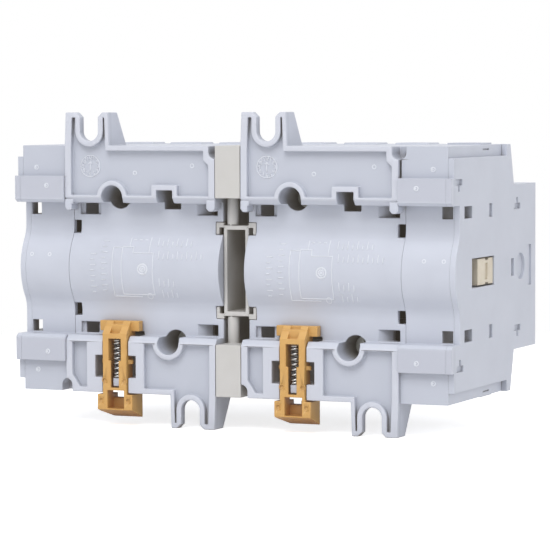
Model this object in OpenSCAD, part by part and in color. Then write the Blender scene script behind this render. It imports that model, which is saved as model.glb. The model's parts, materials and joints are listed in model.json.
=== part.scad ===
// Changeover switch: two three-pole load switches side by side, each with a fourth pole
// on its outer end, joined by a spacer and worked by one I-0-II selector on the front.
// X runs along the rail, +Y is the rear (towards the rail), +Z is up. Millimetres.
// Y = 0 is the rear rim of the switches and Z = 0 is the middle of the rail.

/* [Switch housing] */
// Width of one three-pole switch along the rail
unit_w = 45; // [42:0.5:51]
// Height of the housing between its terminal faces
body_h = 67.2; // [64:0.4:76]
// Height of the front nose
nose_h = 45.2; // [42:0.2:47]
// Depth of the tall part of the housing at its outer edge
tall_d = 46; // [44:0.5:50]
// Depth of the nose
nose_d = 67.5; // [64:0.5:74]
// Wall thickness of the mouldings
wall = 1.6; // [1.2:0.1:2]
// Depth at which the base and the front cover part
split_d = 29; // [28:0.5:31]
// Pole pitch
pole_pitch = 15; // [14:0.5:16]

/* [Rail channel] */
// Height of the rail that the channel takes
rail_h = 35; // [34.5:0.1:36]
// Room between the rail and the channel walls
rail_play = 0.6; // [0.3:0.1:1]
// Depth of the channel floor behind the rim
channel_d = 5.6; // [5:0.1:6.5]
// Depth of the bulge's highest line behind the rim
bulge_top_d = 2.1; // [1.8:0.1:3]
// Radius of the bulge
bulge_r = 14.6; // [13:0.2:16]

/* [Fixing ears] */
// Distance across between the two fixing slots of a switch
ear_pitch_x = 30; // [26:1:32]
// Distance up between the two fixing slots
ear_pitch_z = 75; // [73:1:85]
// Width of the fixing slots
slot_w = 5.4; // [4.4:0.1:6]
// Width of an ear
ear_w = 13.6; // [12.4:0.2:15]
// Reach of an ear past the centre of its slot
ear_reach = 5.1; // [4:0.1:7]

/* [Rear face] */
// Depth of the sunk panels
panel_d = 1.6; // [0.8:0.1:1.8]
// Radius of the two driver holes
driver_hole_r = 3.2; // [2.6:0.1:3.6]
// Offset of the driver holes from the switch's centre, across
driver_hole_x = 8.3; // [7.8:0.1:8.8]
// Offset of the driver holes from the middle, up and down
driver_hole_z = 19.6; // [18.6:0.1:20.6]

/* [Fourth pole] */
// Width of the fourth pole's housing
pole_w = 15; // [14:0.5:18]
// How far the raised bands stand behind the rim
band_proud = 0.7; // [0.3:0.1:1.2]
// Height of the raised bands
band_h = 6.4; // [5:0.2:8]

/* [Spacer] */
// Width of the spacer between the switches
spacer_w = 7.5; // [6:0.5:9]
// Height of the spacer's frame in the channel
frame_h = 24.4; // [23:0.2:25]

/* [Rail clip] */
// Width of the clip's stem
clip_w = 7.3; // [7:0.1:8]
// Width of the clip's foot
foot_w = 10.5; // [9.5:0.1:12]
// Travel of the clip when it is pulled down
clip_travel = 3.6; // [3:0.1:4]
// Outer diameter of the clip's spring
clip_spring_d = 3; // [2.6:0.1:3]

/* [Contacts] */
// Stroke of the contact carrier
stroke = 5.5; // [4.5:0.1:6]
// Height of the carrier
carrier_h = 7; // [6:0.2:7.4]
// Depth of the carrier from front to rear
carrier_d = 12; // [11:0.2:13]
// Width of the moving contact strips
strip_w = 4.6; // [4:0.2:5.4]

/* [Terminals] */
// Width of a terminal cage
cage_w = 9.5; // [8:0.1:10]
// Height of a terminal cage
cage_h = 7.5; // [6.8:0.1:8]
// Diameter of a terminal screw's head
screw_head_d = 6.6; // [5.4:0.1:7]
// Clearance of a terminal screw's shank in its cage
screw_clear = 0.05; // [0.02:0.01:0.1]

/* [Drive] */
// Diameter of a drive spindle
spindle_d = 8; // [7:0.2:9]
// Teeth on each gear
gear_teeth = 26; // [20:2:30]
// Backlash between the gears, measured along the pitch circle
backlash = 0.3; // [0.25:0.05:0.5]
// Face width of the gears
gear_t = 4; // [3:0.2:4.4]
// Thickness of the gearbox walls
box_wall = 1.8; // [1.4:0.1:2.2]
// Height of the gearbox
box_h = 36; // [34:0.5:44]

/* [Handle] */
// Length of the handle's grip
grip_l = 46; // [36:1:56]
// Width of the handle's grip
grip_w = 11; // [9:0.5:14]
// How far the handle stands in front of the gearbox
handle_d = 17; // [13:0.5:22]

/* [Hidden] */
$fn = 64;
eps = 0.01;
gap = 0.2;
housing_grey = [0.80, 0.82, 0.86];
spacer_grey = [0.81, 0.80, 0.77];
carrier_cream = [0.86, 0.83, 0.76];
clip_amber = [0.84, 0.67, 0.41];
steel_grey = [0.62, 0.63, 0.65];
copper_red = [0.80, 0.52, 0.38];
zinc_grey = [0.72, 0.73, 0.74];
gear_white = [0.90, 0.90, 0.88];
box_grey = [0.55, 0.57, 0.60];
handle_black = [0.10, 0.10, 0.11];

// Places that follow from the sizes above
unit_x = spacer_w/2 + unit_w/2;
pole_x = spacer_w/2 + unit_w + pole_w/2;
body_top = body_h/2;
nose_top = nose_h/2;
slant_d = tall_d + 3;
channel_top = rail_h/2 + rail_play;
floor_in = channel_d + wall;
bulge_axis = bulge_top_d + bulge_r;
bulge_rise = channel_d - bulge_top_d;
bulge_fillet_r = 7.7;
bulge_fillet_z = sqrt(bulge_rise*(2*bulge_r - bulge_rise + 2*bulge_fillet_r));
rear_in = panel_d + wall;
ear_x = ear_pitch_x/2;
ear_z = ear_pitch_z/2;
ear_top = ear_z + ear_reach;
slot_r = slot_w/2;
slot_rim = 1.5;
rim = 1.4;
ear_shift = 0.7;
ear_taper = 0.4;
ear_rib_in = 1.1;
ear_rib_out = 1.9;
ear_plate_t = 2.6;
ear_base_d = 11;
ear_tip_d = 6;
ear_low_rib_d = 4;
boss_floor = 14;
notch_x = -7.5;
notch_w = 4.8;
notch_top = 21.6;
notch_d = 14;
bevel_d = 1.2;
bevel_z = 1.5;
frame_bar = 1.2;

// Carrier: it rests at the front end of its window and moves to the rear to close
window_front = 32.7;
window_h = carrier_h + 0.8;
carrier_front = window_front - 0.1;
carrier_rear = carrier_front - carrier_d;
window_rear = carrier_rear - stroke - 0.1;
bridge_t = 1.2;
bridge_front = carrier_rear + 6.4;
pad_t = 0.8;
bridge_rear = bridge_front - bridge_t;
fixed_pad_front = bridge_rear - pad_t - stroke - 0.1;
pad_r = 1.9;

// Terminals: cages stand in the tall part, wires enter from above and below
cage_front = 41.5;
cage_rear = 29.7;
cage_out = body_top - wall - gap;
cage_in = cage_out - cage_h;
bridge_half = cage_in - 7.3;
pad_z = bridge_half - 2;
riser_z = bridge_half + 1.6;
strip_front = 38.4;
strip_t = 1.5;
wire_front = strip_front - strip_t;
wire_rear = cage_rear + 1.2;
screw_z = (cage_in + cage_out)/2;
head_front = 45.2;
head_t = 2.4;
shank_r = 2;

// Drive: two spindles turn opposite ways to the handle's gear between them
gear_r = unit_x/2;
gear_module = 2*gear_r/gear_teeth;
box_back = nose_d;
gear_back = box_back + box_wall + 0.3;
gear_front = gear_back + gear_t;
box_front = gear_front + 0.3 + box_wall;
box_half_w = unit_x + gear_r + 3;
spindle_r = spindle_d/2;
spindle_rear = carrier_front + 0.6;
cam_r = 7;
cam_t = 3;
run_clear = 0.06;
snap_r = spindle_r + 3.6;
snap_rear = spindle_rear + cam_t + 0.6;
snap_front = snap_rear + 5.6;
hub_r = 5;
grip_back = box_front + 0.5;

// Rail clip, placed from the channel's edge and from the bottom face
clip_x = 7.45;
clip_top = channel_top - rail_play - 3.4;
stem_top = channel_top - 0.7;
stem_bottom = body_top + 0.4;
foot_bottom = body_top + 4.6;
foot_toe = body_top + 7;
foot_d = 6.2;
clip_proud = 0.4;
clip_d = 3.4;
clip_back = channel_d - 0.4;
head_w = 11.8;
arm_w = 2.2;
guide_clear = 0.2;
clip_skin = 0.3;
spring_top = channel_top + 0.8;
spring_bottom = body_top - 4;
spring_room = clip_spring_d/2 + 0.35;
spring_axis_d = clip_spring_d/2 + clip_skin + 0.05;
tab_half = 1;
slot_low = -(body_top - 1.4);
seat_skin = 2.2;
seat_d = 8;
clip_window_low = -(body_top - 4.2);
clip_window_high = clip_window_low + 6;
lug_low = clip_window_low + clip_travel + 0.1;
lug_h = 1.2;
lug_reach = 1;

// Edges and pockets of the channel floor
pocket_z = channel_top - 3.3;
pocket_h = 3;
edge_notch_w = 2.2;
edge_notch_h = 3.5;
edge_notch_z = channel_top - 5;
hollow_r = 1.8;
hollow_z = body_top - 1.7;
hollow_d = 6;
hollow_back = hollow_r + 1.2;

// Fourth pole: its inner case carries a side plate that stops short of the strips above and below
rear_step = 1.2;
pole_in_x = pole_x - pole_w/2;
pole_out_x = pole_x + pole_w/2;
plate_x = pole_out_x - wall;
plate_half = body_top - 3.1;
plate_strip_d = 43;
duct_w = 4.9;
duct_rim = 1.9;
duct_rear = 9.2;
duct_front = 15.2;
duct_z = channel_top - 3.5;
duct_h = 3.2;

// Spacer
spacer_half = spacer_w/2 - 0.1;
spacer_front = 30;
spacer_web_d = 24;
spacer_pocket_d = 22;
spacer_side = 1;
pin_r = 1.6;
pin_x = 1.5;
hook_reach = edge_notch_w - 0.1;
hook_t = 0.9;
hook_bar = 1.4;

// Lays an outline of depth and height along X, from x0 to x1
module along_x(x0, x1) {
  translate([x0, 0, 0]) rotate([90, 0, 90]) linear_extrude(x1 - x0) children();
}

// Sinks an outline of X and Z forwards, from depth d0 to depth d1 behind the rim
module into_y(d0, d1) {
  translate([0, -d0, 0]) rotate([90, 0, 0]) linear_extrude(d1 - d0) children();
}

// Lays an outline of X and Y upwards, from z0 to z1
module along_z(z0, z1) {
  translate([0, 0, z0]) linear_extrude(z1 - z0) children();
}

// A box between two X, two depths and two heights
module slab(x0, x1, d0, d1, z0, z1) {
  translate([x0, -d1, z0]) cube([x1 - x0, d1 - d0, z1 - z0]);
}

// A rod along Y between two depths
module rod_y(r, d0, d1) {
  translate([0, -d0, 0]) rotate([90, 0, 0]) cylinder(r = r, h = d1 - d0);
}

module at_unit(side) {
  translate([side*unit_x, 0, 0]) children();
}

module at_end(side) {
  if (side > 0) children();
  else mirror([1, 0, 0]) children();
}

module turned(top) {
  if (top) children();
  else rotate([0, 180, 0]) children();
}

// Side outline of the front part, from the split to the nose, shrunk by t
module front_outline(t, start) {
  polygon([
    [-start, -body_top + t], [-tall_d + t/2, -body_top + t], [-slant_d + t, -nose_top + t],
    [-nose_d + t, -nose_top + t], [-nose_d + t, nose_top - t], [-slant_d + t, nose_top - t],
    [-tall_d + t/2, body_top - t], [-start, body_top - t]
  ]);
}

// Convex bulge in the channel with its two hollow flanks
module bulge_outline() {
  intersection() {
    translate([-bulge_axis, 0]) circle(r = bulge_r);
    translate([-channel_d - 1, -bulge_fillet_z]) square([channel_d + 1, 2*bulge_fillet_z]);
  }
  for (s = [-1, 1])
    difference() {
      touch = bulge_r/(bulge_r + bulge_fillet_r);
      touch_z = bulge_fillet_z*touch;
      touch_y = -bulge_axis + (bulge_axis - channel_d + bulge_fillet_r)*touch;
      polygon([
        [-channel_d - 1, s*(touch_z - 1)], [touch_y - 0.5, s*(touch_z - 1)], [touch_y, s*touch_z],
        [touch_y, s*bulge_fillet_z], [-channel_d - 1, s*bulge_fillet_z]
      ]);
      translate([-channel_d + bulge_fillet_r, s*bulge_fillet_z]) circle(r = bulge_fillet_r);
    }
}

// Rail channel with its bevelled edges
module channel_outline() {
  edge = channel_top + bevel_z;
  polygon([
    [1, -edge], [0, -edge], [-bevel_d, -channel_top], [-channel_d, -channel_top],
    [-channel_d, channel_top], [-bevel_d, channel_top], [0, edge], [1, edge]
  ]);
}

// Rear outline of a housing down to depth d
module rear_outline(d) {
  difference() {
    translate([-d, -body_top]) square([d, body_h]);
    channel_outline();
  }
  bulge_outline();
}

// Hollow inside the rear of a housing down to depth d
module rear_hollow(d, back) {
  difference() {
    translate([-d, -body_top + wall]) square([d - back, body_h - 2*wall]);
    translate([-floor_in, -channel_top - wall]) square([floor_in, 2*channel_top + 2*wall]);
  }
  intersection() {
    translate([-bulge_axis, 0]) circle(r = bulge_r - wall);
    translate([-floor_in - 1, -bulge_r]) square([floor_in + 1, 2*bulge_r]);
  }
}

// Fixing ear, drawn for the top corner: a tapered outline from z0 to z1, its edges moved in by i0 and i1
module ear_outline(z0, z1, i0, i1) {
  x0 = ear_x - ear_w/2 + ear_shift + i0;
  x1 = ear_x + ear_w/2 + ear_shift - i1;
  polygon([[x0, z0], [x1, z0], [x1 - ear_taper, z1], [x0 + ear_taper, z1]]);
}

module ear_slot(r) {
  translate([ear_x, ear_z]) circle(r = r);
  translate([ear_x - r, ear_z]) square([2*r, ear_top]);
}

// Ear with a thin rear plate, a deep tapered rib on one side and a low one on the other
module ear_body(top) {
  difference() {
    into_y(0, ear_base_d) ear_outline(body_top - 3, ear_top, 0, 0);
    into_y(ear_plate_t, ear_base_d + 1) ear_outline(body_top, ear_top + 1, ear_rib_in, ear_rib_out);
    along_x(0, unit_w)
      polygon([
        [-ear_tip_d, ear_top + 1], [-ear_tip_d, ear_top], [-ear_base_d, body_top],
        [-ear_base_d - 1, body_top], [-ear_base_d - 1, ear_top + 1]
      ]);
    slab(top ? ear_x : 0, top ? unit_w : ear_x, ear_low_rib_d, ear_base_d + 1, body_top, ear_top + 1);
    into_y(-1, ear_base_d + 1) ear_slot(slot_r);
    for (s = [-1, 1])
      into_y(-1, ear_base_d + 1)
        translate([ear_x + s*slot_r, ear_top]) rotate(45) square(1.8, center = true);
  }
}

// Sunk part of the ear between its ribs and the slot's rim
module ear_panel() {
  difference() {
    into_y(-1, panel_d) ear_outline(body_top - 4, ear_top - rim, ear_rib_in, ear_rib_out);
    into_y(-2, panel_d + 1) ear_slot(slot_r + slot_rim);
  }
}

// Rim that stays proud around a driver hole
module driver_ring(grow) {
  translate([driver_hole_x, driver_hole_z]) circle(r = driver_hole_r + grow);
}

// Sunk panel of the top bar, around the date dial
module top_panel() {
  edge = unit_w/2 - 1.9;
  low = channel_top + 2;
  high = body_top - rim;
  difference() {
    into_y(-1, panel_d)
      polygon([
        [-edge, low], [edge, low], [edge, high], [ear_x - ear_w/2 + 0.7, high],
        [-edge + 1.5, high], [-edge + 1.5, high - 2.5], [-edge, high - 3.8]
      ]);
    into_y(-2, panel_d + 1) driver_ring(1.3);
    into_y(-2, panel_d + 1)
      translate([notch_x - notch_w/2 - rim, 0]) square([notch_w + 2*rim, notch_top + rim]);
    into_y(-2, panel_d + 1) ear_slot(slot_r + slot_rim);
  }
}

// Sunk panels of the bottom bar, either side of the clip's seat
module bottom_panels() {
  edge = unit_w/2 - 1.9;
  low = body_top - rim;
  high = channel_top + 1.9;
  difference() {
    into_y(-1, panel_d) polygon([[-edge, -high], [-1.2, -high], [-1.2, -low], [-edge, -low]]);
    into_y(-2, panel_d + 1) rotate(180) driver_ring(1.4);
    into_y(-2, panel_d + 1) rotate(180) ear_slot(slot_r + slot_rim);
  }
  into_y(-1, panel_d)
    polygon([[edge, -high], [16.2, -high], [16.2, -low], [edge - 2.3, -low], [edge, -low + 3.5]]);
}

// Clip seat: a groove for the stem, a room behind it for the head and a window for the lugs
module clip_seat() {
  groove = clip_w/2 + guide_clear;
  room = head_w/2 + guide_clear;
  slab(clip_x - groove, clip_x + groove, -1, clip_d + guide_clear, -body_top - 1, -channel_top + 1);
  slab(clip_x - room, clip_x + room, seat_skin, seat_d, clip_window_low, -channel_top + 1);
  slab(clip_x - room, clip_x + room, -1, seat_d, clip_window_low, clip_window_high);
  slab(clip_x - 1.4, clip_x + 4.6, clip_d, 10.5, -body_top - 1, -body_top + 0.6);
}

// Block that closes the clip's room towards the front
module clip_block() {
  half = head_w/2 + guide_clear + wall;
  slab(clip_x - half, clip_x + half, 0, seat_d + wall, -body_top, -channel_top - bevel_z);
  slab(clip_x - half, clip_x + half, bevel_d, seat_d + wall, -body_top, -channel_top);
}

// Tab that the clip's spring stands on
module spring_tab() {
  slab(clip_x - tab_half, clip_x + tab_half, 0.6, clip_d + 1, slot_low + 0.3, -spring_bottom);
}

// Carrier window through a side wall or partition, between two X
module carrier_window(x0, x1) {
  slab(x0, x1, window_rear, window_front, -window_h/2, window_h/2);
}

// Outline in X and Y of a pocket whose floor slopes down to an opening beside the side wall
module ramp_outline() {
  x0 = -unit_w/2 + 1.7;
  polygon([
    [x0 + 6.1, -channel_d + 1], [x0 + 6.1, -channel_d], [x0 + 2.9, -channel_d - 3.2],
    [x0 + 2.9, -floor_in - 5], [x0, -floor_in - 5], [x0, -channel_d + 1]
  ]);
}

// Openings of the channel floor, the edges and the top bar
module floor_openings() {
  for (z = [pocket_z, -pocket_z - pocket_h]) {
    slab(14.4, 20.5, 0, channel_d + 0.9, z, z + pocket_h);
    slab(15.5, 19.4, 0, floor_in + 1, z, z + pocket_h);
    along_z(z, z + pocket_h) ramp_outline();
  }
  for (s = [-1, 1], z = [edge_notch_z - edge_notch_h, -edge_notch_z])
    slab(s*unit_w/2 - edge_notch_w, s*unit_w/2 + edge_notch_w, 0, floor_in + 6, z, z + edge_notch_h);
  slab(notch_x - notch_w/2, notch_x + notch_w/2, -1, notch_d, channel_top - 1.7, notch_top);
}

// Blocks behind the sloping pockets
module ramp_backs() {
  for (z = [pocket_z, -pocket_z - pocket_h])
    slab(-unit_w/2 + 3.6, -unit_w/2 + 9, channel_d + 0.2, channel_d + 4.6, z - 1.1, z + pocket_h + 1.1);
}

// Hollow open to the end face, shared with the neighbouring housing
module corner_hollow() {
  rod_y(hollow_r, -1, hollow_d);
  slab(-hollow_r, hollow_r, -1, hollow_d, 0, body_top);
}

// Legs that reach over the channel and hook behind the rail
module rail_legs() {
  edge = unit_w/2;
  for (s = [-1, 1])
    into_y(0, channel_d - 1.4)
      polygon([
        [s*edge, channel_top + 1], [s*edge, channel_top - 1.3], [s*(edge - 0.7), channel_top - 2.1],
        [s*(edge - 1.8), channel_top - 2.1], [s*(edge - 2.5), channel_top - 1.3],
        [s*(edge - 2.5), channel_top + 1]
      ]);
}

// Tubes and blocks that the base carries round its driver holes and its notch
module base_bosses() {
  difference() {
    union() {
      for (top = [true, false]) turned(top)
        translate([driver_hole_x, 0, driver_hole_z]) rod_y(driver_hole_r + rim, 0, boss_floor + wall);
      slab(
        notch_x - notch_w/2 - rim, notch_x + notch_w/2 + rim, 0, notch_d + wall,
        channel_top - 2.9, notch_top + rim);
    }
    along_x(-unit_w/2, unit_w/2) channel_outline();
  }
}

// Partitions between the poles, open where the driver tubes stand
module base_partitions() {
  for (x = [-pole_pitch/2, pole_pitch/2])
    difference() {
      slab(x - 0.7, x + 0.7, floor_in - eps, split_d, -body_top + wall, body_top - wall);
      for (s = [-1, 1])
        slab(x - 1, x + 1, 0, split_d + 1, s*driver_hole_z - 4, s*driver_hole_z + 4);
    }
}

// Rear moulding of one switch
module base() {
  difference() {
    union() {
      difference() {
        along_x(-unit_w/2, unit_w/2) rear_outline(split_d);
        along_x(-unit_w/2 + wall, unit_w/2 - wall) rear_hollow(split_d + 1, rear_in);
      }
      for (top = [true, false]) turned(top) ear_body(top);
      base_bosses();
      base_partitions();
      clip_block();
      ramp_backs();
      rail_legs();
      for (top = [true, false]) turned(top)
        slab(
          -unit_w/2, -unit_w/2 + hollow_back, 1, hollow_d + 1.2, hollow_z - hollow_back, body_top);
    }
    for (top = [true, false]) turned(top) {
      translate([driver_hole_x, 0, driver_hole_z]) rod_y(driver_hole_r, -1, boss_floor);
      translate([driver_hole_x, 0, driver_hole_z]) rod_y(1.65, 0, boss_floor + wall + 1);
      ear_panel();
      translate([-unit_w/2, 0, hollow_z]) corner_hollow();
    }
    top_panel();
    bottom_panels();
    clip_seat();
    floor_openings();
    carrier_window(-unit_w, unit_w);
  }
  spring_tab();
}

// Pocket for a terminal cage with its wire entry and its screw hole, top side
module terminal_room(x) {
  half = cage_w/2 + gap;
  slab(x - half, x + half, split_d - 1, cage_front + gap, cage_in - gap, body_top - wall);
  slab(x - 3.6, x + 3.6, wire_rear, wire_front, body_top - wall - 1, body_top + 1);
  translate([x, 0, screw_z]) rod_y(screw_head_d/2 + gap, cage_front - 1, slant_d + 1);
}

// Low collar round a wire entry
module wire_collar(x) {
  slab(x - 4.8, x + 4.8, wire_rear - 1.2, wire_front + 1.2, body_top - eps, body_top + 0.5);
}

// The front room of a housing: everything but the blocks that hold the terminals
module front_room(x0, x1) {
  difference() {
    along_x(x0 + wall, x1 - wall) front_outline(wall, split_d - 1);
    slab(x0, x1, cage_front + gap, slant_d + 1, cage_in - wall, body_h);
    slab(x0, x1, cage_front + gap, slant_d + 1, -body_h, -cage_in + wall);
  }
}

// Front moulding of one switch, over the poles at the given places
module front_shell(x0, x1, poles) {
  difference() {
    union() {
      along_x(x0, x1) front_outline(0, split_d);
      for (top = [true, false], x = poles) turned(top) wire_collar(top ? x : -x);
    }
    front_room(x0, x1);
    for (top = [true, false], x = poles) turned(top) terminal_room(top ? x : -x);
  }
}

module cover() {
  difference() {
    union() {
      front_shell(-unit_w/2, unit_w/2, [-pole_pitch, 0, pole_pitch]);
      difference() {
        for (x = [-pole_pitch/2, pole_pitch/2])
          slab(x - 0.7, x + 0.7, split_d, slant_d - wall, -body_top + wall, body_top - wall);
        rod_y(snap_r + 0.5, split_d - 1, snap_front + 1);
      }
      for (top = [true, false]) turned(top)
        translate([driver_hole_x, 0, driver_hole_z]) rod_y(2.4, boss_floor + wall + 0.1, slant_d - 4);
      rod_y(spindle_r + 2, carrier_front + 6, nose_d - wall);
    }
    for (top = [true, false]) turned(top)
      translate([driver_hole_x, 0, driver_hole_z]) rod_y(1.5 + screw_clear, boss_floor, split_d + 8);
    carrier_window(-unit_w, unit_w);
    rod_y(spindle_r + run_clear, window_front, nose_d + 1);
    rod_y(cam_r + 0.5, split_d, spindle_rear + cam_t + 1);
  }
}

// Rear outline of a fourth pole: raised bands beside the channel, sunk beyond them
module pole_rear_outline(d) {
  difference() {
    translate([-d, -body_top]) square([d - rear_step, body_h]);
    translate([-channel_d, -channel_top]) square([channel_d, 2*channel_top]);
  }
  for (s = [-1, 1])
    polygon([
      [-rear_step - 1, s*channel_top], [-0.4, s*channel_top], [band_proud, s*(channel_top + 0.8)],
      [band_proud, s*(channel_top + 0.8 + band_h)], [-rear_step - 1, s*(channel_top + 0.8 + band_h)]
    ]);
  bulge_outline();
}

// Duct from the rear hole of a fourth pole to its side window, grown by t
module pole_duct(t, front, out) {
  for (z = [duct_z, -duct_z - duct_h]) {
    slab(pole_out_x - duct_w - t, pole_out_x - duct_rim + t, front, duct_front + t, z - t, z + duct_h + t);
    slab(pole_out_x - duct_w - t, out, duct_rear - t, duct_front + t, z - t, z + duct_h + t);
  }
}

// Housing of a fourth pole before its side plate is parted from it
module pole_case() {
  difference() {
    union() {
      difference() {
        union() {
          along_x(pole_in_x, pole_out_x) pole_rear_outline(split_d);
          along_x(pole_in_x, pole_out_x) front_outline(0, split_d - eps);
          for (top = [true, false]) turned(top) wire_collar(top ? pole_x : -pole_x);
        }
        along_x(pole_in_x + wall, plate_x) rear_hollow(split_d + 1, rear_step + wall);
        front_room(pole_in_x, pole_out_x);
      }
      pole_duct(1.1, channel_d, plate_x + eps);
    }
    pole_duct(0, 0, pole_out_x + 1);
    for (top = [true, false]) turned(top) terminal_room(top ? pole_x : -pole_x);
    carrier_window(pole_in_x - 1, pole_out_x + 1);
  }
}

// The room of the side plate, with play p around it
module plate_room(p) {
  slab(plate_x, pole_out_x + 1, -2, plate_strip_d - p, -plate_half - p, plate_half + p);
  slab(plate_x, pole_out_x + 1, plate_strip_d - p, nose_d + 1, -body_h, body_h);
}

// T-shaped snap window at a depth and a height, its stem up or down
module snap_outline(d, z, up) {
  translate([-d - 2.6, z - 0.8]) square([5.2, 1.6]);
  translate([-d - 0.7, up ? z : z - 2.4]) square([1.4, 2.4]);
}

// The four snap windows of a fourth pole's side: depth, height and whether the stem points up
snaps = [[5, 24.2, false], [51.7, 16.6, true], [51.9, -16.8, false], [5.8, -24.4, true]];

// Side plate of a fourth pole with its snap windows and its shallow recesses
module pole_shell() {
  difference() {
    intersection() {
      pole_case();
      plate_room(0);
    }
    for (snap = snaps) {
      along_x(pole_out_x - 0.8, pole_out_x + 1) snap_outline(snap[0], snap[1], snap[2]);
      slab(plate_x - 1, pole_out_x + 1, snap[0] - 2.6, snap[0] - 0.9, snap[1] - 0.8, snap[1] + 0.8);
    }
    translate([pole_out_x, -nose_d + 13, 0]) rotate([0, 90, 0]) cylinder(r = 3.64, h = 1.6, center = true);
    slab(pole_out_x - 0.8, pole_out_x + 1, nose_d - 20.9, nose_d - 18.5, -2.4, 2.4);
    slab(pole_out_x - 0.6, pole_out_x + 1, nose_d - 6.5, nose_d - 3.7, -5.7, 5.6);
    for (z = [duct_z - 0.2, -duct_z - duct_h - 0.2])
      slab(pole_out_x - 0.8, pole_out_x + 1, 28.4, 31.2, z, z + 3.6);
  }
}

// Case of a fourth pole; the hollow at its edge lies low on one switch and high on the other
module pole_inner(side) {
  lip = plate_x - 0.9;
  difference() {
    union() {
      difference() {
        pole_case();
        slab(plate_x, pole_out_x + 1, -2, nose_d + 1, -body_h, body_h);
      }
      for (s = [0, 1]) mirror([0, 0, s])
        slab(lip, plate_x, rear_step, plate_strip_d, plate_half - 0.6, body_top - wall + eps);
      mirror([0, 0, side > 0 ? 1 : 0])
        slab(
          pole_in_x, pole_in_x + hollow_back, rear_step + 0.1, hollow_d + 1.2,
          hollow_z - hollow_back, body_top);
    }
    translate([pole_in_x, 0, -side*hollow_z]) rotate([0, side > 0 ? 180 : 0, 0]) corner_hollow();
    slab(pole_in_x - 1, pole_in_x + 0.5, 0, rear_step + 3, channel_top + 0.8 + band_h, hollow_z - hollow_r);
    for (z = [edge_notch_z - edge_notch_h, -edge_notch_z])
      slab(pole_in_x - 1, pole_in_x + wall + 1, floor_in, floor_in + 6, z, z + edge_notch_h);
    for (z = [body_top - 1.4, -body_top + 1]) slab(plate_x - 0.5, plate_x + 1, 28, 33, z, z + 0.4);
  }
}

module base_place(side) {
  color(housing_grey) at_unit(side) base();
}

module cover_place(side) {
  color(housing_grey) at_unit(side) cover();
}

// Beige moulding between the two switches: two blocks, a framed pocket, a web and four hooks
module coupling_spacer() {
  frame_half = frame_h/2;
  block_in = channel_top + 1.5;
  color(spacer_grey) difference() {
    union() {
      for (s = [0, 1]) mirror([0, 0, s]) {
        slab(-spacer_half, spacer_half, 0, spacer_front, block_in, body_top);
        translate([pin_x, -channel_d - pin_r, frame_half - frame_bar])
          cylinder(r = pin_r, h = block_in - frame_half + 2);
      }
      slab(-spacer_half, spacer_half, channel_d, spacer_front, -frame_half, frame_half);
      slab(-spacer_half, spacer_half, spacer_web_d, spacer_front, -body_top, body_top);
    }
    slab(
      -spacer_half + spacer_side, spacer_half - spacer_side, channel_d - 1, spacer_pocket_d,
      -frame_half + frame_bar, frame_half - frame_bar);
  }
  color(spacer_grey)
    for (sx = [0, 1], sz = [0, 1]) mirror([sx, 0, 0]) mirror([0, 0, sz]) {
      x1 = spacer_w/2 + hook_reach;
      z1 = edge_notch_z - 0.1;
      slab(spacer_half - eps, x1, channel_d, channel_d + 2, z1 - hook_bar, z1);
      slab(x1 - hook_t, x1, channel_d, channel_d + 2, edge_notch_z - edge_notch_h + 0.1, z1);
    }
}

// Sprung clip that holds the lower edge of the rail: stem, head on two sloping arms, lugs and foot
module rail_clip() {
  half = clip_w/2;
  color(clip_amber) difference() {
    union() {
      slab(clip_x - half, clip_x + half, -clip_proud, clip_d, -stem_bottom - 1, -stem_top);
      slab(clip_x - head_w/2, clip_x + head_w/2, 2.8, clip_back, -stem_top + 0.5, -clip_top);
      slab(clip_x - half, clip_x + half, 1.2, clip_back, -stem_top - 1, -clip_top - 0.9);
      for (x = [clip_x - half, clip_x + half - arm_w])
        along_x(x, x + arm_w)
          polygon([
            [clip_proud, -stem_top - 1], [clip_proud, -stem_top], [-2.4, -clip_top],
            [-clip_back, -clip_top], [-clip_back, -stem_top - 1]
          ]);
      for (s = [-1, 1])
        along_z(lug_low, lug_low + lug_h)
          polygon([
            [clip_x + s*half, -2.8], [clip_x + s*(half + lug_reach), -2.2],
            [clip_x + s*(half + lug_reach), -1.4], [clip_x + s*half, -0.6]
          ]);
      rail_clip_foot();
    }
    slab(clip_x - spring_room, clip_x + spring_room, clip_skin, clip_d + 1, slot_low, -spring_top + 0.1);
    slab(clip_x - spring_room, clip_x + spring_room, -1, clip_d + 1, -spring_top - 5.9, -spring_top + 0.1);
    slab(clip_x - tab_half - gap, clip_x + tab_half + gap, -1, clip_d + 1, slot_low, -spring_top - 5.8);
    slab(clip_x - 2.75, clip_x + 2.25, -1, clip_d, -foot_bottom + 0.3, slot_low - 0.7);
    slab(clip_x - 0.95, clip_x + 2.25, 2, foot_d + 1, -body_top - 1.6, slot_low - 0.9);
    for (p = [[3, body_top - 3.4], [4.05, body_top + 2]], s = [-1, 1])
      translate([clip_x + s*p[0], 0, -p[1]]) rod_y(0.6, -1, -0.1);
  }
}

// Foot of the clip, one lower corner cut off
module rail_clip_foot() {
  difference() {
    along_x(clip_x - foot_w/2, clip_x + foot_w/2)
      polygon([
        [clip_proud, -stem_bottom], [clip_proud, -foot_bottom], [-foot_d, -foot_toe], [-foot_d, -stem_bottom]
      ]);
    translate([clip_x + foot_w/2 + 0.4, 0, -foot_toe - 0.4]) rotate([0, 45, 0])
      cube([3.8, 30, 3.8], center = true);
  }
}

// Closed-end coil around an axis along Z, as stacked rings
module coil(r, wire, z0, z1, turns) {
  pitch = (z1 - z0 - wire)/(turns - 1);
  for (i = [0:turns - 1])
    translate([0, 0, z0 + wire/2 + i*pitch])
      rotate_extrude() translate([r - wire/2, 0]) circle(r = wire/2, $fn = 16);
}

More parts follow.
